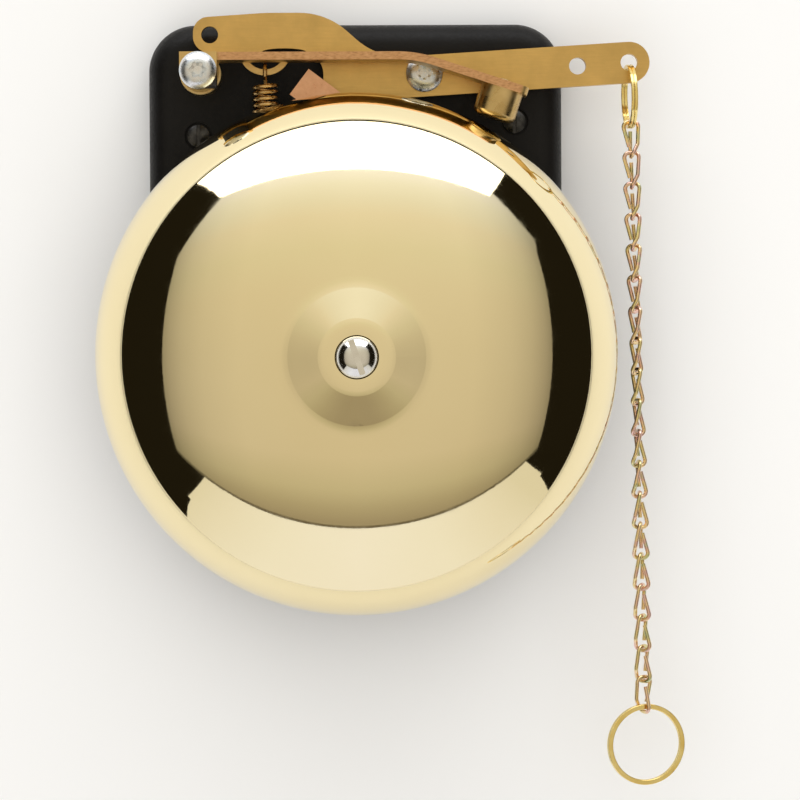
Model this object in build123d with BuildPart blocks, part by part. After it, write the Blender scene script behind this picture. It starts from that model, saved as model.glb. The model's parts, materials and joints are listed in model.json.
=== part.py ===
"""Wall-mounted manual fire alarm bell: a brass gong on a black case, struck by a sprung
hammer arm that a pull lever and its chain lift and let go.

Frame: X to the right, Z up, the front faces -Y and the wall is the plane Y = 0. The origin
is where the gong's axis meets the wall. "Depth" below is the distance in front of the wall.
All sizes are in millimetres.
"""
import os
from math import asin, cos, radians, sin, tan

from build123d import *

os.makedirs("parts", exist_ok=True)

# ---- driving dimensions ---------------------------------------------------------------
RUN = 0.05  # radial clearance of every pin, bush and screw in its hole
SHEET = 2.0  # thickness of the small sheet pieces

CASE_WIDTH, CASE_TOP, CASE_BOTTOM = 122.8, 97.7, -48.3
CASE_DEPTH, CASE_WALL, CASE_CORNER, CASE_ROUND = 17.0, 3.0, 14.0, 7.5
CASE_MID = (CASE_TOP + CASE_BOTTOM) / 2

PLATE_GAP = 0.5  # back plate to the inside of the case
WALL_HOLE_R, WALL_HOLES_X, WALL_HOLES_Z = 2.5, 70.0, 120.0
CASE_SCREWS, CASE_SCREW_R = [(-46.5, 64.5), (47.1, 68.4), (-46.5, -16.7), (47.1, -16.7)], 2.0
BUSH_LENGTH = 5.0

GONG_R, GONG_RIM_DEPTH, GONG_WALL = 76.2, 30.0, 2.0
GONG_SKIRT, SHOULDER_R, CROWN_R = 2.5, 29.0, 120.0
BOSS_EDGE_R, BOSS_FOOT_R, BOSS_SLOPE, BOSS_TOP_R, BOSS_ROUND = 22.6, 14.1, 24.8, 9.15, 8.6
GONG_SCREW_R, GONG_HEAD_R = 3.0, 6.15

LEVER_DEPTH, LEVER_THICK = 18.0, 3.0
LEVER_PIVOT = (20.3, 82.4)
LEVER_END = (80.7, 85.5)
LEVER_SPARE = (65.5, 84.5)
LEVER_TAIL = (-42.8, 94.0)
LEVER_HOLE_R, LEVER_HALF, LEVER_RISE = 2.5, 6.05, 3.55
LEVER_TOP, LEVER_TAIL_LOW, LOBE_LEFT, LOBE_RIGHT, LOBE_LOW = 100.4, 88.9, -9.4, 5.5, 58.6

ARM_DEPTH, ARM_WIDTH, ARM_THICK, ARM_TOP = 25.4, 12.5, 2.3, 87.65
ARM_PIVOT = (-45.35, 82.2)
ARM_DROOP, ARM_BEND_R, ARM_BEND_X, ARM_TIP = 18.0, 36.0, 12.0, 28.7
EAR_R, ARM_BUSH_R = 5.4, 2.75
HEAD_R, HEAD_LENGTH, HEAD_ALONG = 6.3, 9.0, 21.4

SPRING_X, SPRING_DEPTH, SPRING_R, SPRING_WIRE, SPRING_PITCH = -26.4, 25.9, 3.3, 1.2, 1.75
SPRING_TOP, SPRING_TURNS = 79.2, 12.25
STUD_Z = 47.0

FINGER_CORNER, FINGER_ANGLE, FINGER_WIDTH = (-13.65, 83.5), 37.0, 9.3
FINGER_THICK, FINGER_FRONT, FINGER_FLAT = 1.2, 25.8, 13.0
STOPS = [(-2.0, 54.9), (-15.3, 75.7)]

CHAIN_LEAN, CHAIN_TWIST, LAST_TWIST, LINKS = 1.34, -7.5, -16.0, 19
LINK_WIRE, LINK_HALF, LINK_PITCH = 1.2, 5.23, 9.15
SMALL_RING_R, SMALL_RING_TURN, SMALL_RING_DROP = 8.8, 5.0, 10.0
PULL_RING_R, PULL_RING_TURN = 11.3, 15.0
SMALL_RING_SECTION = (1.3, 1.0)  # radial, along the ring's axis, for each of two turns
PULL_RING_SECTION = (1.5, 0.9)


# ---- helpers --------------------------------------------------------------------------
def front(depth, x=0.0, z=0.0):
    """A plane parallel to the wall: local x is +X, local y is +Z, extrusions go forward."""
    return Plane(origin=(x, -depth, z), x_dir=(1, 0, 0), z_dir=(0, -1, 0))


def turned(x, z):
    """A half-section plane for pieces turned about an axis along Y through (x, z):
    local x is the radius and local y is the depth."""
    return Plane(origin=(x, 0, z), x_dir=(1, 0, 0), z_dir=(0, 0, -1))


def spin_axis(x, z):
    return Axis((x, 0, z), (0, -1, 0))


def keep(piece, name):
    """Labels a finished piece and writes its STEP file."""
    piece.part.label = name
    export_step(piece.part, f"parts/{name}.step")


def hex_nut(name, x, z, back, height, across, bore):
    """A hexagon nut standing on the plane at depth back."""
    with BuildPart() as nut:
        with BuildSketch(front(back, x, z)):
            RegularPolygon(across / 2, 6, major_radius=False)
            Circle(bore, mode=Mode.SUBTRACT)
        extrude(amount=height)
    keep(nut, name)


def pan_screw(name, x, z, under_head, tip, shank):
    """A pan-head screw with a six-lobed drive, seated at depth under_head."""
    head_r, edge, height = 5.4, 1.1, 3.0
    top, floor = under_head + height, under_head + height - 2.0
    with BuildPart() as screw:
        with BuildSketch(turned(x, z)):
            with BuildLine():
                Polyline((0, top), (0, tip), (shank, tip),
                         (shank, under_head), (head_r, under_head),
                         (head_r, under_head + edge))
                ThreePointArc((head_r, under_head + edge),
                              (head_r * 0.72, under_head + height * 0.84),
                              (0, top))
            make_face()
        revolve(axis=spin_axis(x, z))
        with BuildSketch(turned(x, z)):
            Polygon((0, floor), (1.3, floor), (2.15, top + 0.5), (0, top + 0.5), align=None)
        revolve(axis=spin_axis(x, z), mode=Mode.SUBTRACT)
        with BuildSketch(front(floor + 0.2, x, z)):
            with PolarLocations(1.9, 6):
                Circle(0.62)
        extrude(amount=3, mode=Mode.SUBTRACT)
    keep(screw, name)


# ---- back plate and case --------------------------------------------------------------
plate_width = CASE_WIDTH - 2 * (CASE_WALL + PLATE_GAP)
plate_height = CASE_TOP - CASE_BOTTOM - 2 * (CASE_WALL + PLATE_GAP)

with BuildPart() as back_plate:
    with BuildSketch(front(0, 0, CASE_MID)):
        RectangleRounded(plate_width, plate_height, CASE_CORNER - CASE_WALL)
        with GridLocations(WALL_HOLES_X, WALL_HOLES_Z, 2, 2):
            Circle(WALL_HOLE_R, mode=Mode.SUBTRACT)
    extrude(amount=SHEET)
keep(back_plate, "back_plate")

with BuildPart() as plate_bushes:
    with BuildSketch(front(SHEET)):
        with Locations(*CASE_SCREWS):
            Circle(4.0)
            Circle(CASE_SCREW_R + RUN, mode=Mode.SUBTRACT)
    extrude(amount=BUSH_LENGTH)
keep(plate_bushes, "plate_bushes")

post_back = SHEET + BUSH_LENGTH
with BuildPart() as case:
    with BuildSketch(front(0, 0, CASE_MID)):
        RectangleRounded(CASE_WIDTH, CASE_TOP - CASE_BOTTOM, CASE_CORNER)
    extrude(amount=CASE_DEPTH)
    fillet(case.faces().sort_by(Axis.Y)[0].edges(), CASE_ROUND)
    with BuildSketch(front(0, 0, CASE_MID)):
        RectangleRounded(CASE_WIDTH - 2 * CASE_WALL, CASE_TOP - CASE_BOTTOM - 2 * CASE_WALL,
                         CASE_CORNER - CASE_WALL)
    extrude(amount=CASE_DEPTH - CASE_ROUND, mode=Mode.SUBTRACT)
    inset = 2 * (CASE_WALL + 3.0)
    with BuildSketch(front(0, 0, CASE_MID)):
        RectangleRounded(CASE_WIDTH - inset, CASE_TOP - CASE_BOTTOM - inset, CASE_CORNER - 6)
    extrude(amount=CASE_DEPTH - CASE_WALL, mode=Mode.SUBTRACT)
    with BuildSketch(front(post_back)):
        with Locations(*CASE_SCREWS):
            Circle(5.5)
    extrude(until=Until.NEXT)
    with BuildSketch(front(0)):
        with Locations(*CASE_SCREWS):
            Circle(CASE_SCREW_R + RUN)
    extrude(amount=CASE_DEPTH + 1, mode=Mode.SUBTRACT)
    with BuildSketch(front(CASE_DEPTH - 1.2)):
        with Locations(*CASE_SCREWS):
            Circle(4.1)
    extrude(amount=3, mode=Mode.SUBTRACT)
    with BuildSketch(front(0)):
        with Locations(LEVER_PIVOT, ARM_PIVOT, (SPRING_X, STUD_Z)):
            Circle(2.0 + RUN)
        Circle(4.0 + RUN)
    extrude(amount=CASE_DEPTH + 1, mode=Mode.SUBTRACT)
keep(case, "case")

with BuildPart() as case_screws:
    seat = CASE_DEPTH - 1.2
    for spot_x, spot_z in CASE_SCREWS:
        with BuildSketch(turned(spot_x, spot_z)):
            with BuildLine():
                Polyline((0, seat + 2.1), (0, SHEET + 1), (CASE_SCREW_R, SHEET + 1),
                         (CASE_SCREW_R, seat), (3.3, seat), (3.3, seat + 1.3))
                ThreePointArc((3.3, seat + 1.3), (1.9, seat + 1.88), (0, seat + 2.1))
            make_face()
        revolve(axis=spin_axis(spot_x, spot_z))
    with BuildSketch(front(seat + 0.9)):
        with Locations(*CASE_SCREWS):
            Rectangle(1.0, 8)
    extrude(amount=3, mode=Mode.SUBTRACT)
keep(case_screws, "case_screws")


# ---- gong and the post that carries it --------------------------------------------------
boss_bore = GONG_SCREW_R + 0.2
shoulder_x = GONG_R - SHOULDER_R
shoulder_y = GONG_RIM_DEPTH + GONG_SKIRT
blend = asin(shoulder_x / (CROWN_R - SHOULDER_R))
crown_y = shoulder_y - (CROWN_R - SHOULDER_R) * cos(blend)
boss_edge = asin(BOSS_EDGE_R / CROWN_R)
boss_slope = radians(BOSS_SLOPE)


def boss_foot(inward, angle):
    """A point of the hollow curve between the crown and the boss's flank, by its slope."""
    along = BOSS_FOOT_R * (sin(angle) - sin(boss_edge))
    up = BOSS_FOOT_R * (cos(boss_edge) - cos(angle))
    return (BOSS_EDGE_R - along - inward * sin(angle),
            crown_y + CROWN_R * cos(boss_edge) + up - inward * cos(angle))


flank_start = boss_foot(0, boss_slope)
boss_depth = flank_start[1] + (flank_start[0] - BOSS_TOP_R) * tan(boss_slope)


def gong_profile(inward):
    """One surface of the gong from rim to centre hole, moved inward from the outside."""
    def polar(x, y, radius, angle):
        return x + radius * sin(angle), y + radius * cos(angle)

    shoulder, crown, plateau = SHOULDER_R - inward, CROWN_R - inward, boss_depth - inward
    rim = (GONG_R - inward, GONG_RIM_DEPTH)
    top_of_skirt = (GONG_R - inward, shoulder_y)
    tangent = polar(shoulder_x, shoulder_y, shoulder, blend)
    edge, flank = boss_foot(inward, boss_edge), boss_foot(inward, boss_slope)
    Line(rim, top_of_skirt)
    ThreePointArc(top_of_skirt, polar(shoulder_x, shoulder_y, shoulder, (radians(90) + blend) / 2),
                  tangent)
    ThreePointArc(tangent, polar(0, crown_y, crown, (blend + boss_edge) / 2), edge)
    ThreePointArc(edge, boss_foot(inward, (boss_edge + boss_slope) / 2), flank)
    FilletPolyline(flank, (flank[0] - (plateau - flank[1]) / tan(boss_slope), plateau),
                   (boss_bore, plateau), radius=BOSS_ROUND - inward)
    return rim


with BuildPart() as gong:
    with BuildSketch(turned(0, 0)):
        with BuildLine():
            Line(gong_profile(0), gong_profile(GONG_WALL))
            Line((boss_bore, boss_depth), (boss_bore, boss_depth - GONG_WALL))
        make_face()
    revolve(axis=spin_axis(0, 0))
    with BuildSketch(front(boss_depth - 0.8)):
        Circle(GONG_HEAD_R + 0.55)
    extrude(amount=2, mode=Mode.SUBTRACT)
keep(gong, "gong")

washer_back = boss_depth - GONG_WALL - 1.5
with BuildPart() as gong_washer:
    with BuildSketch(front(washer_back)):
        Circle(6.8)
        Circle(GONG_SCREW_R + 0.2, mode=Mode.SUBTRACT)
    extrude(amount=1.5)
keep(gong_washer, "gong_washer")

with BuildPart() as gong_post:
    with BuildSketch(turned(0, 0)):
        Polygon((0, 6), (4, 6), (4, CASE_DEPTH), (12, CASE_DEPTH), (12, CASE_DEPTH + 3),
                (7, CASE_DEPTH + 6), (7, washer_back), (0, washer_back), align=None)
    revolve(axis=spin_axis(0, 0))
    with BuildSketch(front(washer_back)):
        Circle(GONG_SCREW_R + RUN)
    extrude(amount=-20, mode=Mode.SUBTRACT)
keep(gong_post, "gong_post")

with BuildPart() as post_washer:
    with BuildSketch(front(CASE_DEPTH - CASE_WALL - 1.5)):
        Circle(9)
        Circle(4 + RUN, mode=Mode.SUBTRACT)
    extrude(amount=1.5)
keep(post_washer, "post_washer")
hex_nut("post_nut", 0, 0, CASE_DEPTH - CASE_WALL - 8, 6.5, 13, 4 + RUN)

with BuildPart() as gong_screw:
    seat = boss_depth - 0.8
    head_edge, head_height = 0.5, 4.0
    with BuildSketch(turned(0, 0)):
        with BuildLine():
            Polyline((0, seat + head_height), (0, seat - 18), (GONG_SCREW_R, seat - 18),
                     (GONG_SCREW_R, seat), (GONG_HEAD_R, seat), (GONG_HEAD_R, seat + head_edge))
            ThreePointArc((GONG_HEAD_R, seat + head_edge),
                          (GONG_HEAD_R * 0.575, seat + head_edge + (head_height - head_edge) * 0.73),
                          (0, seat + head_height))
        make_face()
    revolve(axis=spin_axis(0, 0))
    with BuildSketch(front(seat + 1.9)):
        with Locations(Location((0, 0, 0), (0, 0, 19))):
            Rectangle(1.7, 16)
    extrude(amount=4, mode=Mode.SUBTRACT)
keep(gong_screw, "gong_screw")


# ---- pull lever -------------------------------------------------------------------------
lever_front = LEVER_DEPTH + LEVER_THICK
lever_rise = radians(LEVER_RISE)
lever_along = Vector(cos(lever_rise), sin(lever_rise))
lever_across = Vector(-sin(lever_rise), cos(lever_rise))
end_cap = Vector(*LEVER_END) + lever_along * LEVER_HALF


def right_arm(x, side):
    """A point of the right arm's edge at x; side is +1 for the top edge, -1 for the bottom."""
    middle = LEVER_END[1] + (x - LEVER_END[0]) * tan(lever_rise)
    return x, middle + side * LEVER_HALF / cos(lever_rise)


lever_corners = [  # (point, radius) anticlockwise from the lower end of the right arm
    (end_cap - lever_across * LEVER_HALF, LEVER_HALF - 0.05),
    (end_cap + lever_across * LEVER_HALF, LEVER_HALF - 0.05),
    (right_arm(6.6, 1), 20), ((-8.5, LEVER_TOP), 21), ((-26.7, LEVER_TOP), 60),
    ((-47.7, 99.0), 4.6), ((-47.7, LEVER_TAIL_LOW), 4.6), ((LOBE_LEFT, LEVER_TAIL_LOW), 6.5),
    ((LOBE_LEFT, LOBE_LOW), 6), ((LOBE_RIGHT, LOBE_LOW), 6), (right_arm(LOBE_RIGHT, -1), 2)]

with BuildPart() as pull_lever:
    with BuildSketch(front(LEVER_DEPTH)):
        with BuildLine():
            FilletPolyline(*[point for point, radius in lever_corners],
                           radius=[radius for point, radius in lever_corners], close=True)
        make_face()
        with Locations((-21, LEVER_TAIL_LOW)):
            Ellipse(6.5, 1.1, mode=Mode.SUBTRACT)
        with Locations(LEVER_END, LEVER_SPARE, LEVER_TAIL):
            Circle(LEVER_HOLE_R, mode=Mode.SUBTRACT)
        with Locations(LEVER_PIVOT):
            Circle(3.5 + RUN, mode=Mode.SUBTRACT)
    extrude(amount=LEVER_THICK)
    along = Vector(cos(radians(FINGER_ANGLE)), -sin(radians(FINGER_ANGLE)))
    end_mid = Vector(*FINGER_CORNER) + Vector(along.Y, -along.X) * (FINGER_WIDTH / 2)
    rivet_spots = [end_mid + along * 19.8, end_mid + along * 24.6]
    with BuildSketch(front(LEVER_DEPTH)):
        with Locations(*rivet_spots):
            Circle(1.5)
    extrude(amount=LEVER_THICK, mode=Mode.SUBTRACT)
keep(pull_lever, "pull_lever")

# The finger: a copper strip riveted to the lever's hidden lobe, joggled forward so that its
# free corner reaches under the hammer arm.
finger_plane = Plane(origin=(end_mid.X, 0, end_mid.Y), x_dir=(along.X, 0, along.Y),
                     z_dir=(-along.Y, 0, along.X))
with BuildPart() as lifting_finger:
    with BuildSketch(finger_plane.offset(-FINGER_WIDTH / 2)):
        flat, step = -FINGER_FRONT, -lever_front
        bend, foot, end = FINGER_FLAT, FINGER_FLAT + 4.5, FINGER_FLAT + 14.5
        Polygon((0, flat), (bend, flat), (foot, step), (end, step), (end, step - FINGER_THICK),
                (foot - 0.6, step - FINGER_THICK), (bend - 0.6, flat - FINGER_THICK),
                (0, flat - FINGER_THICK), align=None)
    extrude(amount=FINGER_WIDTH)
    with BuildSketch(front(lever_front - 1)):
        with Locations(*rivet_spots):
            Circle(1.5)
    extrude(amount=FINGER_THICK + 2, mode=Mode.SUBTRACT)
keep(lifting_finger, "lifting_finger")

with BuildPart() as finger_rivets:
    with BuildSketch(front(LEVER_DEPTH)):
        with Locations(*rivet_spots):
            Circle(1.5)
    extrude(amount=LEVER_THICK + FINGER_THICK)
    with BuildSketch(front(lever_front + FINGER_THICK)):
        with Locations(*rivet_spots):
            Circle(2.4)
    extrude(amount=0.9, taper=25)
keep(finger_rivets, "finger_rivets")

with BuildPart() as lever_bush:
    with BuildSketch(turned(*LEVER_PIVOT)):
        Polygon((2 + RUN, CASE_DEPTH), (5.5, CASE_DEPTH), (5.5, LEVER_DEPTH - 0.1),
                (3.5, LEVER_DEPTH - 0.1), (3.5, lever_front + 0.15),
                (2 + RUN, lever_front + 0.15), align=None)
    revolve(axis=spin_axis(*LEVER_PIVOT))
keep(lever_bush, "lever_bush")
pan_screw("lever_pivot_screw", *LEVER_PIVOT, lever_front + 0.15, 8, 2.0)
hex_nut("lever_pivot_nut", *LEVER_PIVOT, CASE_DEPTH - CASE_WALL - 3.2, 3.2, 7, 2 + RUN)


# ---- hammer arm -------------------------------------------------------------------------
arm_front = ARM_DEPTH + ARM_WIDTH
arm_under = ARM_TOP - ARM_THICK
droop = radians(ARM_DROOP)
arm_dir = Vector(cos(droop), -sin(droop))
arm_down = Vector(-sin(droop), -cos(droop))
bend_end = Vector(ARM_BEND_X + ARM_BEND_R * sin(droop), ARM_TOP - ARM_BEND_R * (1 - cos(droop)))
arm_tip = bend_end + arm_dir * ARM_TIP
ear_left = ARM_PIVOT[0] - EAR_R


def bend_point(radius, angle):
    centre = ARM_TOP - ARM_BEND_R
    return ARM_BEND_X + radius * sin(angle), centre + radius * cos(angle)


def ear(depth):
    """The outline of one of the two ears that fold down onto the pivot bush."""
    with BuildSketch(front(depth)) as outline:
        with Locations(ARM_PIVOT):
            Circle(EAR_R)
        with Locations((ARM_PIVOT[0], (ARM_PIVOT[1] + ARM_TOP) / 2)):
            Rectangle(2 * EAR_R, ARM_TOP - ARM_PIVOT[1])
    return outline.sketch


with BuildPart() as hammer_arm:
    with BuildSketch(front(ARM_DEPTH)):
        with BuildLine():
            Line((ear_left, ARM_TOP), (ARM_BEND_X, ARM_TOP))
            ThreePointArc((ARM_BEND_X, ARM_TOP), bend_point(ARM_BEND_R, droop / 2), bend_end)
            Line(bend_end, arm_tip)
            Line(arm_tip, arm_tip + arm_down * ARM_THICK)
            Line(arm_tip + arm_down * ARM_THICK, bend_end + arm_down * ARM_THICK)
            ThreePointArc(bend_end + arm_down * ARM_THICK,
                          bend_point(ARM_BEND_R - ARM_THICK, droop / 2),
                          (ARM_BEND_X, arm_under))
            Line((ARM_BEND_X, arm_under), (ear_left, arm_under))
            Line((ear_left, arm_under), (ear_left, ARM_TOP))
        make_face()
    extrude(amount=ARM_WIDTH)
    tip_edges = hammer_arm.edges().filter_by(
        lambda edge: abs(edge.length - ARM_THICK) < 0.01 and edge.center().X > arm_tip.X - 2)
    fillet(tip_edges, 3.0)
    extrude(ear(ARM_DEPTH), amount=SHEET)
    extrude(ear(arm_front), amount=SHEET)
    with BuildSketch(front(ARM_DEPTH - 1)):
        with Locations(ARM_PIVOT):
            Circle(ARM_BUSH_R + RUN)
    extrude(amount=ARM_WIDTH + 6, mode=Mode.SUBTRACT)
    # the lug that takes the spring's hook hangs from the back edge
    with BuildSketch(front(ARM_DEPTH)) as lug:
        with Locations((SPRING_X, arm_under + 2.7)):
            Ellipse(7.3, 6.4)
            Ellipse(5.4, 4.7, mode=Mode.SUBTRACT)
        with Locations((SPRING_X, arm_under + 6)):
            Rectangle(20, 11, mode=Mode.SUBTRACT)
    extrude(amount=1.8)
    head_spot = bend_end + arm_dir * HEAD_ALONG
    with BuildSketch(Plane(origin=(head_spot.X, -(ARM_DEPTH + ARM_WIDTH / 2), head_spot.Y),
                           x_dir=(arm_dir.X, 0, arm_dir.Y), z_dir=(arm_down.X, 0, arm_down.Y))):
        Circle(2.0)
    extrude(amount=ARM_THICK, mode=Mode.SUBTRACT)
keep(hammer_arm, "hammer_arm")

# The hammer head is a turned slug whose spigot is riveted over on top of the arm.
head_axis = Axis((head_spot.X, -(ARM_DEPTH + ARM_WIDTH / 2), head_spot.Y),
                 (arm_down.X, 0, arm_down.Y))
head_plane = Plane(origin=head_axis.position, x_dir=(arm_dir.X, 0, arm_dir.Y),
                   z_dir=(0, -1, 0))
with BuildPart() as hammer_head:
    with BuildSketch(head_plane):
        with BuildLine():
            face = -ARM_THICK - HEAD_LENGTH
            Polyline((0, 0.6), (1.6, 0.6), (2.8, 0), (2.0, 0), (2.0, -ARM_THICK),
                     (HEAD_R, -ARM_THICK), (HEAD_R, face + 1.6))
            ThreePointArc((HEAD_R, face + 1.6), (HEAD_R - 0.6, face + 0.65), (HEAD_R - 2.2, face))
            Line((HEAD_R - 2.2, face), (0, face))
            Line((0, face), (0, 0.6))
        make_face()
    revolve(axis=head_axis)
keep(hammer_head, "hammer_head")

ear_front = arm_front + SHEET
with BuildPart() as hammer_bush:
    with BuildSketch(turned(*ARM_PIVOT)):
        Polygon((2 + RUN, CASE_DEPTH), (6, CASE_DEPTH), (6, ARM_DEPTH - 0.2),
                (ARM_BUSH_R, ARM_DEPTH - 0.2), (ARM_BUSH_R, ear_front + 0.2),
                (2 + RUN, ear_front + 0.2),
                align=None)
    revolve(axis=spin_axis(*ARM_PIVOT))
keep(hammer_bush, "hammer_bush")
pan_screw("hammer_pivot_screw", *ARM_PIVOT, ear_front + 0.2, 8, 2.0)
hex_nut("hammer_pivot_nut", *ARM_PIVOT, CASE_DEPTH - CASE_WALL - 3.2, 3.2, 7, 2 + RUN)

# The rest stop: a rubber block on the bush between the ears, under the right-hand side of
# the arm, rounded on its left so that the arm can only turn upwards.
stop_gap = 0.1
stop_top = arm_under - ARM_PIVOT[1] - stop_gap
with BuildPart() as hammer_stop:
    with BuildSketch(front(ARM_DEPTH + SHEET + 0.2, *ARM_PIVOT)):
        with BuildLine():
            Line((0, stop_top), (5.0, stop_top))
            Line((5.0, stop_top), (5.0, -4.4))
            Line((5.0, -4.4), (0, -4.4))
            ThreePointArc((0, -4.4), (-3.7, -1.6), (0, stop_top))
        make_face()
        Circle(ARM_BUSH_R, mode=Mode.SUBTRACT)
    extrude(amount=ARM_WIDTH - SHEET - 0.4)
keep(hammer_stop, "hammer_stop")


# ---- lever stops ------------------------------------------------------------------------
with BuildPart() as stop_pins:
    with BuildSketch(front(CASE_DEPTH)):
        with Locations(*STOPS):
            Circle(1.5)
    extrude(amount=5.5)
keep(stop_pins, "stop_pins")

with BuildPart() as stop_sleeves:
    with BuildSketch(front(CASE_DEPTH)):
        with Locations(*STOPS):
            Circle(3.5)
            Circle(1.5, mode=Mode.SUBTRACT)
    extrude(amount=5.0)
keep(stop_sleeves, "stop_sleeves")


# ---- return spring ----------------------------------------------------------------------
spring_length = SPRING_TURNS * SPRING_PITCH
spring_base = SPRING_TOP - spring_length
wire_r = SPRING_WIRE / 2
spring_back = -(SPRING_DEPTH - SPRING_R)
lug_mid, hook_r, hook_z = -(ARM_DEPTH + 0.9), 1.8, arm_under - 2.55

with BuildPart() as return_spring:
    with BuildLine() as coil:
        Helix(SPRING_PITCH, spring_length, SPRING_R, center=(SPRING_X, -SPRING_DEPTH, spring_base))
    with BuildSketch(Plane(origin=coil.edges()[0] @ 0, z_dir=coil.edges()[0] % 0)):
        Circle(wire_r)
    sweep(path=coil.edges()[0], is_frenet=True)
    with BuildLine() as top_hook:
        neck = Polyline((SPRING_X, spring_back, SPRING_TOP), (SPRING_X, spring_back - 0.4, SPRING_TOP + 1.6),
                        (SPRING_X, lug_mid + hook_r, SPRING_TOP + 2.6),
                        (SPRING_X, lug_mid + hook_r, hook_z))
        ThreePointArc((SPRING_X, lug_mid + hook_r, hook_z), (SPRING_X, lug_mid, hook_z + hook_r),
                      (SPRING_X, lug_mid - hook_r, hook_z))
        Line((SPRING_X, lug_mid - hook_r, hook_z), (SPRING_X, lug_mid - hook_r, hook_z - 1.6))
    with BuildSketch(Plane(origin=neck @ 0, z_dir=neck % 0)):
        Circle(wire_r)
    sweep(path=top_hook.wire(), transition=Transition.ROUND)
    with Locations(neck @ 0):
        Sphere(wire_r + 0.04)
    with BuildLine() as bottom_eye:
        start = coil.edges()[0] @ 0 + Vector(0, 0, wire_r / 5)
        eye_side = Vector(SPRING_X + SPRING_R, -SPRING_DEPTH, STUD_Z)
        Line(start, eye_side)
        ThreePointArc(eye_side, eye_side - Vector(SPRING_R, 0, SPRING_R),
                      eye_side - Vector(2 * SPRING_R, 0, 0))
    with BuildSketch(Plane(origin=start, z_dir=eye_side - start)):
        Circle(wire_r + 0.01)
    sweep(path=bottom_eye.wire())
    with Locations(start):
        Sphere(wire_r + 0.06)
keep(return_spring, "return_spring")

with BuildPart() as spring_stud:
    eye = SPRING_DEPTH
    with BuildSketch(turned(SPRING_X, STUD_Z)):
        Polygon((0, 9), (2, 9), (2, CASE_DEPTH), (4, CASE_DEPTH), (4, CASE_DEPTH + 3),
                (3, eye - 0.8), (2.5, eye - 0.8), (2.5, eye + 0.8), (4, eye + 0.8),
                (4, eye + 1.8), (0, eye + 1.8), align=None)
    revolve(axis=spin_axis(SPRING_X, STUD_Z))
keep(spring_stud, "spring_stud")


# ---- chain and rings --------------------------------------------------------------------
lean = radians(CHAIN_LEAN)
chain_up = Vector(-sin(lean), 0, cos(lean))
chain_side = Vector(cos(lean), 0, sin(lean))
chain_top = Vector(LEVER_END[0], -(LEVER_DEPTH + LEVER_THICK / 2), LEVER_END[1])


def chain_plane(drop, turn=0.0):
    """A plane across the chain, drop below the lever's end hole, turned about the chain."""
    side = chain_side * cos(radians(turn)) + Vector(0, 1, 0) * sin(radians(turn))
    return Plane(origin=chain_top - chain_up * drop, x_dir=side, z_dir=chain_up)


ring_low = SMALL_RING_DROP + SMALL_RING_R  # the small ring's lowest wire centre
link_grip = 1.5  # top of a link's wire centre above the small ring's wire centre
first_link = ring_low - link_grip + LINK_HALF


def link_drop(number):
    return first_link + (number - 1) * LINK_PITCH


def link_turn(number):
    """Each link turns a little further than the one above; the ring turns the last one more."""
    return (number - 1) * CHAIN_TWIST + (LAST_TWIST if number == LINKS else 0)


def split_ring(name, plane, radius, section):
    """Two turns of flat wire lying side by side; the plane's z is the ring's axis."""
    radial, axial = section
    with BuildPart() as ring:
        for side in (-0.5, 0.5):
            centre = plane.offset(side * (axial - 0.1))
            with BuildSketch(Plane(origin=centre.origin + centre.x_dir * radius,
                                   x_dir=centre.x_dir, z_dir=-centre.y_dir)):
                RectangleRounded(radial, axial, axial * 0.3)
            revolve(axis=Axis(centre.origin, centre.z_dir))
    keep(ring, name)


ring_centre = chain_plane(SMALL_RING_DROP, SMALL_RING_TURN)
split_ring("chain_ring", Plane(origin=ring_centre.origin, x_dir=-chain_up, z_dir=ring_centre.x_dir),
           SMALL_RING_R, SMALL_RING_SECTION)

# A link's corners: each loop is nearly as long as the link and ends short of the other
# loop's wide end, and one leg crosses from the side of the upper loop to the front of the
# lower one.
loop_half, free_side, free_reach = 2.45, 0.5, 2.3
leg_corner = (1.95, -1.6, -1.5)


def jack_link(number):
    """One wire bent into two long loops that stand at right angles and overlap."""
    plane = chain_plane(link_drop(number), link_turn(number))
    with BuildPart() as link:
        with BuildLine(plane) as wire:
            path = FilletPolyline((-free_side, 0, -free_reach), (-loop_half, 0, LINK_HALF),
                                  (loop_half, 0, LINK_HALF), leg_corner,
                                  (0, -loop_half, -LINK_HALF), (0, loop_half, -LINK_HALF),
                                  (0, free_side, free_reach), radius=1.6)
        with BuildSketch(Plane(origin=path @ 0, z_dir=path % 0)):
            Circle(LINK_WIRE / 2)
        sweep(path=wire.wire())
    keep(link, f"chain_link_{number:02d}")


for link_number in range(1, LINKS + 1):
    jack_link(link_number)

pull_low = link_drop(LINKS) + LINK_HALF  # the last link's lowest wire centre
pull_grip = 0.85  # its distance below the ring's inside
pull_inner = PULL_RING_R - PULL_RING_SECTION[0] / 2
pull_drop = pull_low - pull_grip + pull_inner
pull_centre = chain_plane(pull_drop, PULL_RING_TURN)
split_ring("pull_ring", Plane(origin=pull_centre.origin, x_dir=pull_centre.x_dir,
                              z_dir=pull_centre.y_dir),
           PULL_RING_R, PULL_RING_SECTION)
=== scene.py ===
"""Looks of the wall-mounted manual fire alarm bell, in metres, in the frame of the CAD model:
X to the right, Z up, the front faces -Y and the wall is the plane Y = 0.
"""
import json
from math import cos, radians, sin

import bpy
from mathutils import Matrix, Vector


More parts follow.
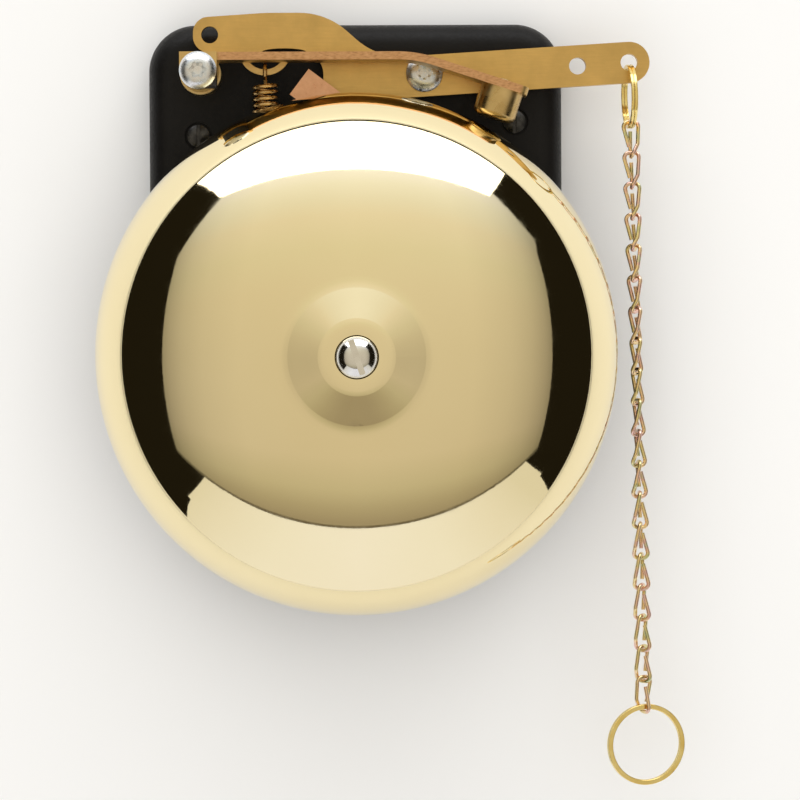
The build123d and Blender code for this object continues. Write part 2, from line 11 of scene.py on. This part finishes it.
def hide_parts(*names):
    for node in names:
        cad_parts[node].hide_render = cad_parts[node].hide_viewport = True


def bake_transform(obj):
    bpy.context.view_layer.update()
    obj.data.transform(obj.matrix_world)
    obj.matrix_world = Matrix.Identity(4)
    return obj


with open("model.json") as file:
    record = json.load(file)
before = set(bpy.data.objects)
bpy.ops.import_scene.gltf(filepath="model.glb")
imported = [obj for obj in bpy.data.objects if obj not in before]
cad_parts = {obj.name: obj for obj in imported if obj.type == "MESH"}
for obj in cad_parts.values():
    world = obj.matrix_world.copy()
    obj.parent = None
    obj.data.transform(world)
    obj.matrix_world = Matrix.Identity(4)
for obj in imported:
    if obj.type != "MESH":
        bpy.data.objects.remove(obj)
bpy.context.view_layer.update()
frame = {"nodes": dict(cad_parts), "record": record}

nodes = frame["nodes"]


# ---- node helpers -----------------------------------------------------------------------
def by_identifier(sockets, identifier):
    """The socket with that identifier; a Mix node has several sockets of one name."""
    return next(socket for socket in sockets if socket.identifier == identifier)


class Shader:
    """A material's node tree with one Principled shader and short ways to add to it."""

    def __init__(self, name, base, metallic=1.0, roughness=0.3, **sockets):
        self.material = bpy.data.materials.new(name)
        self.material.use_nodes = True
        self.tree = self.material.node_tree
        self.bsdf = self.tree.nodes["Principled BSDF"]
        self.bsdf.inputs["Base Color"].default_value = (*base, 1)
        self.bsdf.inputs["Metallic"].default_value = metallic
        self.bsdf.inputs["Roughness"].default_value = roughness
        for socket, value in sockets.items():
            self.bsdf.inputs[socket.replace("_", " ")].default_value = value
        self.place = self.add("ShaderNodeTexCoord").outputs["Object"]
        self.bump = None

    def add(self, kind, **settings):
        node = self.tree.nodes.new(kind)
        for name, value in settings.items():
            setattr(node, name, value)
        return node

    def link(self, output, target):
        self.tree.links.new(output, target)

    def stretched(self, scale):
        """The object's own coordinates, scaled along each axis."""
        mapping = self.add("ShaderNodeMapping")
        mapping.inputs["Scale"].default_value = scale
        self.link(self.place, mapping.inputs["Vector"])
        return mapping.outputs["Vector"]

    def noise(self, scale, detail=3.0, rough=0.5, stretch=(1, 1, 1)):
        node = self.add("ShaderNodeTexNoise")
        node.inputs["Scale"].default_value = scale
        node.inputs["Detail"].default_value = detail
        node.inputs["Roughness"].default_value = rough
        self.link(self.stretched(stretch), node.inputs["Vector"])
        return node.outputs["Fac"]

    def ramp(self, factor, *stops):
        """A colour ramp; each stop is (position, colour)."""
        node = self.add("ShaderNodeValToRGB")
        elements = node.color_ramp.elements
        while len(elements) < len(stops):
            elements.new(0.5)
        for element, (position, colour) in zip(elements, stops):
            element.position = position
            element.color = (*colour, 1)
        self.link(factor, node.inputs["Fac"])
        return node.outputs["Color"]

    def span(self, value, low, high, to_low=0.0, to_high=1.0):
        """value from low..high mapped to to_low..to_high, and held at the ends."""
        node = self.add("ShaderNodeMapRange")
        ends = {"From Min": low, "From Max": high, "To Min": to_low, "To Max": to_high}
        for name, number in ends.items():
            node.inputs[name].default_value = number
        self.link(value, node.inputs["Value"])
        return node.outputs["Result"]

    def mix(self, factor, first, second):
        """first where factor is 0 and second where it is 1; each is a colour or an output."""
        node = self.add("ShaderNodeMix", data_type="RGBA")
        self.link(factor, node.inputs["Factor"])
        for value, identifier in ((first, "A_Color"), (second, "B_Color")):
            socket = by_identifier(node.inputs, identifier)
            if isinstance(value, tuple):
                socket.default_value = (*value, 1)
            else:
                self.link(value, socket)
        return by_identifier(node.outputs, "Result_Color")

    def math(self, operation, first, second):
        node = self.add("ShaderNodeMath", operation=operation)
        for value, socket in zip((first, second), node.inputs):
            if isinstance(value, (int, float)):
                socket.default_value = value
            else:
                self.link(value, socket)
        return node.outputs["Value"]

    def colour(self, output):
        self.link(output, self.bsdf.inputs["Base Color"])

    def rough(self, output):
        self.link(output, self.bsdf.inputs["Roughness"])

    def bumped(self, height, depth, strength=1.0):
        """Bump of the given depth in metres, on top of any bump so far."""
        node = self.add("ShaderNodeBump")
        node.inputs["Distance"].default_value = depth
        node.inputs["Strength"].default_value = strength
        self.link(height, node.inputs["Height"])
        if self.bump:
            self.link(self.bump, node.inputs["Normal"])
        self.bump = node.outputs["Normal"]
        self.link(self.bump, self.bsdf.inputs["Normal"])

    def facing(self, axis):
        """How much the surface faces along a world axis, from -1 to 1."""
        split = self.add("ShaderNodeSeparateXYZ")
        self.link(self.add("ShaderNodeNewGeometry").outputs["Normal"], split.inputs["Vector"])
        return split.outputs[axis]


# ---- finishes ---------------------------------------------------------------------------
# Where the hammer arm's sheared edge begins: right of its ears, and along its front.
PAST_EARS, NEAR_FRONT = (-0.0400, -0.0395), (-0.0374, -0.0378)
HEAD_TILT = radians(-18)  # the hammer head's lean when the arm is at rest


def polished_brass():
    s = Shader("polished_brass", (0.92, 0.80, 0.50), roughness=0.03)
    cloud = s.noise(14, detail=4)
    s.colour(s.ramp(cloud, (0.3, (0.90, 0.775, 0.475)), (0.7, (0.935, 0.82, 0.525))))
    s.rough(s.span(s.noise(260, detail=5), 0.3, 0.75, 0.02, 0.05))
    s.bumped(s.noise(16, detail=1), 0.0004, 0.25)
    s.bumped(s.noise(900, detail=2), 0.000004, 0.25)
    return s.material


def satin_brass(name="satin_brass", along=(0.06, 1, 1), base=(0.72, 0.47, 0.16)):
    """Tumbled strip brass with faint rolling lines and a few darker clouds."""
    s = Shader(name, base, roughness=0.35)
    dark, light = [tuple(c * k for c in base) for k in (0.86, 1.08)]
    lines = s.noise(2600, detail=3, stretch=along)
    clouds = s.noise(95, detail=5, rough=0.6)
    body = s.ramp(clouds, (0.32, dark), (0.68, light))
    s.colour(s.mix(s.span(lines, 0.25, 0.8, 0.0, 0.35), body, tuple(c * 0.8 for c in base)))
    s.rough(s.span(s.math("ADD", lines, clouds), 0.6, 1.4, 0.27, 0.42))
    s.bumped(lines, 0.00001, 0.5)
    s.bumped(s.noise(700, detail=2), 0.00002, 0.4)
    return s.material


def arm_brass():
    """The hammer arm: satin faces, and a sheared front edge that is coppery and scored."""
    s = Shader("arm_brass", (0.72, 0.47, 0.16), roughness=0.35)
    clouds = s.noise(110, detail=5, rough=0.6)
    face = s.ramp(clouds, (0.3, (0.62, 0.42, 0.16)), (0.7, (0.76, 0.53, 0.22)))
    scored = s.noise(1500, detail=4, stretch=(0.5, 1, 1.6))
    edge = s.ramp(scored, (0.25, (0.44, 0.22, 0.10)), (0.5, (0.66, 0.37, 0.18)),
                  (0.8, (0.78, 0.47, 0.25)))
    split = s.add("ShaderNodeSeparateXYZ")
    s.link(s.place, split.inputs["Vector"])
    front = s.span(s.math("MULTIPLY", s.facing("Y"), -1), 0.85, 0.97)
    past_ears = s.span(split.outputs["X"], *PAST_EARS)
    near_front = s.span(split.outputs["Y"], *NEAR_FRONT)
    sheared = s.math("MULTIPLY", front, s.math("MULTIPLY", past_ears, near_front))
    s.colour(s.mix(sheared, face, edge))
    s.rough(s.span(scored, 0.3, 0.7, 0.28, 0.48))
    s.bumped(scored, 0.00003, 0.5)
    return s.material


def hammer_brass():
    """The turned hammer head: fine rings round it, and darker tarnish."""
    s = Shader("hammer_brass", (0.60, 0.42, 0.17), roughness=0.3)
    clouds = s.noise(260, detail=4)
    s.colour(s.ramp(clouds, (0.3, (0.50, 0.34, 0.13)), (0.7, (0.68, 0.49, 0.22))))
    rings = (sin(HEAD_TILT) * 0.2 + 0.05, 0.05, cos(HEAD_TILT))
    s.bumped(s.noise(1800, detail=2, stretch=rings), 0.00001, 0.4)
    s.rough(s.span(clouds, 0.3, 0.7, 0.22, 0.36))
    return s.material


def copper():
    s = Shader("copper", (0.80, 0.44, 0.26), roughness=0.3)
    clouds = s.noise(240, detail=5, rough=0.65)
    s.colour(s.ramp(clouds, (0.28, (0.66, 0.34, 0.19)), (0.55, (0.80, 0.45, 0.27)),
                    (0.8, (0.87, 0.55, 0.36))))
    s.rough(s.span(clouds, 0.3, 0.7, 0.25, 0.42))
    s.bumped(s.noise(2200, detail=2, stretch=(1, 1, 0.2)), 0.00001, 0.4)
    return s.material


def bronze_wire():
    s = Shader("bronze_wire", (0.58, 0.38, 0.16), roughness=0.25)
    s.colour(s.ramp(s.noise(420, detail=3), (0.3, (0.42, 0.26, 0.10)), (0.7, (0.70, 0.48, 0.22))))
    s.rough(s.span(s.noise(1500), 0.3, 0.7, 0.18, 0.34))
    return s.material


def nickel():
    s = Shader("nickel", (0.76, 0.73, 0.66), roughness=0.1)
    s.colour(s.ramp(s.noise(300), (0.3, (0.70, 0.67, 0.60)), (0.7, (0.80, 0.78, 0.72))))
    s.rough(s.span(s.noise(1200), 0.3, 0.7, 0.07, 0.15))
    s.bumped(s.noise(700), 0.00002, 0.25)
    return s.material


def bright_zinc():
    s = Shader("bright_zinc", (0.74, 0.77, 0.80), roughness=0.3)
    clouds = s.noise(420, detail=4)
    s.colour(s.ramp(clouds, (0.3, (0.62, 0.68, 0.76)), (0.5, (0.80, 0.82, 0.83)),
                    (0.72, (0.80, 0.76, 0.72))))
    s.rough(s.span(s.noise(1600), 0.3, 0.7, 0.24, 0.36))
    s.bumped(clouds, 0.00003, 0.3)
    return s.material


def yellow_zinc(number):
    """Passivated zinc: gold, rose and green patches, placed differently on each link."""
    s = Shader(f"yellow_zinc_{number:02d}", (0.74, 0.56, 0.34), roughness=0.16)
    patches = s.noise(210 + 7 * (number % 5), detail=2, rough=0.4)
    s.colour(s.ramp(patches, (0.30, (0.58, 0.60, 0.34)), (0.42, (0.84, 0.68, 0.34)),
                    (0.54, (0.86, 0.63, 0.42)), (0.64, (0.80, 0.52, 0.46)), (0.76, (0.66, 0.62, 0.44))))
    s.rough(s.span(s.noise(1400), 0.3, 0.7, 0.10, 0.24))
    return s.material


def gilt_wire():
    s = Shader("gilt_wire", (0.90, 0.70, 0.26), roughness=0.12)
    s.colour(s.ramp(s.noise(180, detail=3), (0.3, (0.84, 0.62, 0.19)), (0.7, (0.94, 0.78, 0.36))))
    s.rough(s.span(s.noise(1500), 0.3, 0.7, 0.08, 0.18))
    return s.material


def plated_steel():
    s = Shader("plated_steel", (0.58, 0.59, 0.60), roughness=0.35)
    clouds = s.noise(130, detail=5, rough=0.6)
    s.colour(s.ramp(clouds, (0.3, (0.50, 0.51, 0.53)), (0.7, (0.66, 0.66, 0.65))))
    s.rough(s.span(s.noise(800), 0.3, 0.7, 0.27, 0.45))
    s.bumped(clouds, 0.00002, 0.3)
    return s.material


def turned_brass():
    s = Shader("turned_brass", (0.78, 0.60, 0.30), roughness=0.25)
    rings = s.noise(2400, stretch=(0.05, 1, 0.05))
    s.colour(s.ramp(rings, (0.3, (0.68, 0.50, 0.23)), (0.7, (0.84, 0.67, 0.36))))
    s.rough(s.span(rings, 0.3, 0.7, 0.2, 0.35))
    return s.material


def black_paint():
    """Stove enamel with a fine orange-peel grain."""
    s = Shader("black_paint", (0.005, 0.0045, 0.004), metallic=0.0, roughness=0.4,
               Specular_IOR_Level=0.16)
    grain = s.noise(1150, detail=3, rough=0.55)
    s.colour(s.ramp(s.noise(60, detail=4), (0.3, (0.0035, 0.003, 0.0028)),
                    (0.7, (0.006, 0.0052, 0.0046))))
    s.rough(s.span(grain, 0.3, 0.7, 0.34, 0.52))
    s.bumped(grain, 0.00016, 0.55)
    return s.material


def black_steel():
    s = Shader("black_steel", (0.05, 0.05, 0.052), roughness=0.32)
    s.colour(s.ramp(s.noise(500, detail=4), (0.3, (0.03, 0.03, 0.032)), (0.7, (0.085, 0.083, 0.08))))
    s.rough(s.span(s.noise(900), 0.3, 0.7, 0.25, 0.45))
    s.bumped(s.noise(1400), 0.00003, 0.4)
    return s.material


def rubber():
    s = Shader("rubber", (0.02, 0.02, 0.02), metallic=0.0, roughness=0.75)
    s.colour(s.ramp(s.noise(400, detail=4), (0.3, (0.014, 0.014, 0.014)), (0.7, (0.030, 0.029, 0.028))))
    s.bumped(s.noise(1800), 0.00003, 0.4)
    return s.material


finishes = {
    "polished_brass": polished_brass(), "satin_brass": satin_brass(), "copper": copper(),
    "bronze_wire": bronze_wire(), "nickel": nickel(), "zinc": bright_zinc(), "gilt_wire": gilt_wire(),
    "plated_steel": plated_steel(), "turned_brass": turned_brass(), "black_paint": black_paint(),
    "black_steel": black_steel(), "rubber": rubber(),
}
special = {"hammer_arm": arm_brass(), "hammer_head": hammer_brass()}
slot_of = {part["node"]: part["material_slot"] for part in frame["record"]["subparts"]}
for name, node in nodes.items():
    if name.startswith("chain_link_"):
        finish = yellow_zinc(int(name[-2:]))
    else:
        finish = special.get(name) or finishes[slot_of[name]]
    node.data.materials.clear()
    node.data.materials.append(finish)


# ---- spring -----------------------------------------------------------------------------
def stretching_spring():
    """The return spring, which runs from its stud on the case to the hammer arm's lug, as a copy
    of its mesh that stands in for the CAD part, which is hidden."""
    piece = bpy.data.objects.new("stretching_spring", nodes["return_spring"].data.copy())
    bpy.context.collection.objects.link(piece)
    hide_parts("return_spring")
    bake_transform(piece)


stretching_spring()


# ---- studio -----------------------------------------------------------------------------
# The gong mirrors everything before it, so the studio is a box: a lit scrim behind the
# camera, a softbox above, a floor that glows with painted light, and dark gaps at the two
# sides. A fill panel that nothing mirrors lifts the wall.
SCRIM_Y, SOFTBOX_Z, FLOOR_Z, FILL_Y = -1.2, 1.65, -1.3, -1.15
SCRIM_BOW = 0.125  # rise of the scrim's lower edge, in metres for each square metre across
SCRIM_FOOT = (-1.462, -1.452)  # heights over which its lower edge dims
DARK, PALE = (0.013, 0.0105, 0.006), (0.80, 0.79, 0.77)


def sheet(name, corners, material):
    """A flat staged polygon."""
    mesh = bpy.data.meshes.new(name)
    mesh.from_pydata(corners, [], [list(range(len(corners)))])
    panel = bpy.data.objects.new(name, mesh)
    panel.data.materials.append(material)
    bpy.context.collection.objects.link(panel)
    return panel


def glow(name):
    """An emission material; returns its shader helper and the emission node."""
    s = Shader(name, (1, 1, 1))
    emission = s.add("ShaderNodeEmission")
    output = s.tree.nodes["Material Output"]
    s.link(emission.outputs["Emission"], output.inputs["Surface"])
    s.tree.nodes.remove(s.bsdf)
    return s, emission


def scrim_glow():
    """Brighter towards the softbox, fading to the edges, and dim and warm near the floor, with
    a darker foot along its bowed lower edge."""
    s, emission = glow("scrim_glow")
    split = s.add("ShaderNodeSeparateXYZ")
    s.link(s.place, split.inputs["Vector"])
    height = s.span(split.outputs["Z"], -1.4, 1.6)
    tone = s.ramp(height, (0.0, (0.38, 0.33, 0.245)), (0.07, (0.47, 0.42, 0.31)),
                  (0.14, (0.59, 0.54, 0.41)), (0.24, (0.69, 0.62, 0.50)), (0.47, (0.73, 0.66, 0.53)),
                  (0.60, (0.77, 0.70, 0.56)), (0.70, (0.80, 0.75, 0.60)), (0.80, (0.87, 0.81, 0.69)),
                  (0.87, (0.91, 0.89, 0.82)), (0.94, (0.99, 0.99, 0.97)), (1.0, (1.07, 1.08, 1.16)))
    s.link(tone, emission.inputs["Color"])
    across = s.math("ABSOLUTE", split.outputs["X"], 0)
    fall = s.ramp(s.span(across, 0.0, 1.9), (0.0, (1, 1, 1)), (0.42, (0.96,) * 3), (0.63, (0.85,) * 3),
                  (0.79, (0.71,) * 3), (0.92, (0.55,) * 3), (1.0, (0.42,) * 3))
    bow = s.math("MULTIPLY", s.math("MULTIPLY", across, across), SCRIM_BOW)
    foot = s.span(s.math("SUBTRACT", split.outputs["Z"], bow), *SCRIM_FOOT, 0.42, 1.0)
    s.link(s.math("MULTIPLY", fall, foot), emission.inputs["Strength"])
    return s.material


def plain_glow(name, colour, strength):
    s, emission = glow(name)
    emission.inputs["Color"].default_value = (*colour, 1)
    emission.inputs["Strength"].default_value = strength
    return s.material


def floor_glow():
    """The floor as a glowing sheet of painted light, as a lit white floor would give: brightest along
    its middle.
    """
    s, emission = glow("floor_glow")
    split = s.add("ShaderNodeSeparateXYZ")
    s.link(s.place, split.inputs["Vector"])
    across = s.math("ABSOLUTE", split.outputs["X"], 0)
    tone = s.ramp(s.span(across, 0.0, 1.6), (0.0, (0.97, 0.98, 1.08)), (0.35, (0.95, 0.96, 1.02)),
                  (0.65, (0.89, 0.88, 0.88)), (1.0, (0.80, 0.78, 0.72)))
    s.link(tone, emission.inputs["Color"])
    return s.material


def scrim_outline():
    low = [(x / 10, SCRIM_Y, -1.50 + SCRIM_BOW * (x / 10) ** 2) for x in range(-19, 20)]
    high = [(1.93, 1.2), (1.45, 1.72), (-1.40, 1.68), (-1.86, 1.0)]
    return low + [(x, SCRIM_Y, z) for x, z in high]


def floor_outline():
    front = [(x / 10, -1.045 - 0.10 * (x / 10) ** 2, FLOOR_Z) for x in range(20, -17, -1)]
    return front + [(-1.34, -0.003, FLOOR_Z), (1.78, -0.003, FLOOR_Z)]


scrim = sheet("scrim", scrim_outline(), scrim_glow())
# the floor glows with painted light, brightest along its middle
sheet("floor", floor_outline(), floor_glow())
softbox_corners = [(-1.45, -1.2), (1.42, -1.2), (1.38, -0.12), (-1.55, -0.12)]
softbox = sheet("softbox", [(x, y, SOFTBOX_Z) for x, y in softbox_corners],
                plain_glow("softbox_glow", (1.0, 1.0, 1.0), 2.8))
fill_corners = [(-1.6, 1.3), (1.6, 1.3), (1.6, -1.1), (-1.6, -1.1)]
fill = sheet("fill", [(x, FILL_Y, z) for x, z in fill_corners],
             plain_glow("fill_glow", (1.0, 0.985, 0.95), 1.22))
fill.visible_glossy = False
for panel in (scrim, softbox, fill):
    panel.visible_camera = False


def wall_paint():
    """A warm white wall that lets a camera behind it look through."""
    s = Shader("wall_paint", (0.90, 0.895, 0.885), metallic=0.0, roughness=0.9)
    s.colour(s.ramp(s.noise(3, detail=3), (0.3, (0.895, 0.89, 0.880)), (0.7, (0.905, 0.90, 0.890))))
    through = s.add("ShaderNodeMixShader")
    s.link(s.add("ShaderNodeNewGeometry").outputs["Backfacing"], through.inputs["Fac"])
    s.link(s.bsdf.outputs["BSDF"], through.inputs[1])
    s.link(s.add("ShaderNodeBsdfTransparent").outputs["BSDF"], through.inputs[2])
    s.link(through.outputs["Shader"], s.tree.nodes["Material Output"].inputs["Surface"])
    return s.material


WALL_Y = 0.0004
wall_corners = [(-3, FLOOR_Z), (3, FLOOR_Z), (3, 2.2), (-3, 2.2)]
sheet("wall", [(x, WALL_Y, z) for x, z in wall_corners], wall_paint())


def studio_world():
    """Dark before the wall, pale behind it, and pale wherever the camera looks straight at it."""
    world = bpy.data.worlds.new("studio")
    world.use_nodes = True
    tree = world.node_tree
    background = tree.nodes["Background"]
    place = tree.nodes.new("ShaderNodeTexCoord")
    split = tree.nodes.new("ShaderNodeSeparateXYZ")
    tree.links.new(place.outputs["Generated"], split.inputs["Vector"])
    behind = tree.nodes.new("ShaderNodeMath")
    behind.operation = "GREATER_THAN"
    tree.links.new(split.outputs["Y"], behind.inputs[0])
    behind.inputs[1].default_value = 0.0
    path = tree.nodes.new("ShaderNodeLightPath")
    pale = tree.nodes.new("ShaderNodeMath")
    pale.operation = "MAXIMUM"
    tree.links.new(behind.outputs["Value"], pale.inputs[0])
    tree.links.new(path.outputs["Is Camera Ray"], pale.inputs[1])
    mix = tree.nodes.new("ShaderNodeMix")
    mix.data_type = "RGBA"
    tree.links.new(pale.outputs["Value"], mix.inputs["Factor"])
    for identifier, colour in (("A_Color", DARK), ("B_Color", PALE)):
        by_identifier(mix.inputs, identifier).default_value = (*colour, 1)
    tree.links.new(by_identifier(mix.outputs, "Result_Color"), background.inputs["Color"])
    bpy.context.scene.world = world


studio_world()

# ---- camera -----------------------------------------------------------------------------
CAMERA_AT = Vector((0.0, -0.930, 0.0158))
CAMERA_TOWARDS = Vector((0.01397, 1.0, -0.0325))
CAMERA_ROLL = 0.0047  # radians, clockwise
CAMERA_LENS, CAMERA_SENSOR = 138.5, 36.0  # millimetres

camera_data = bpy.data.cameras.new("camera")
camera_data.sensor_width = CAMERA_SENSOR
camera_data.lens = CAMERA_LENS
camera = bpy.data.objects.new("camera", camera_data)
bpy.context.collection.objects.link(camera)
forward = CAMERA_TOWARDS.normalized()
right = forward.cross(Vector((0, 0, 1))).normalized()
upward = right.cross(forward)
level = Matrix((right, upward, -forward)).transposed()
turn = level @ Matrix.Rotation(-CAMERA_ROLL, 3, "Z")
camera.matrix_world = Matrix.Translation(CAMERA_AT) @ turn.to_4x4()
bpy.context.scene.camera = camera
bpy.context.scene.view_settings.view_transform = "Standard"
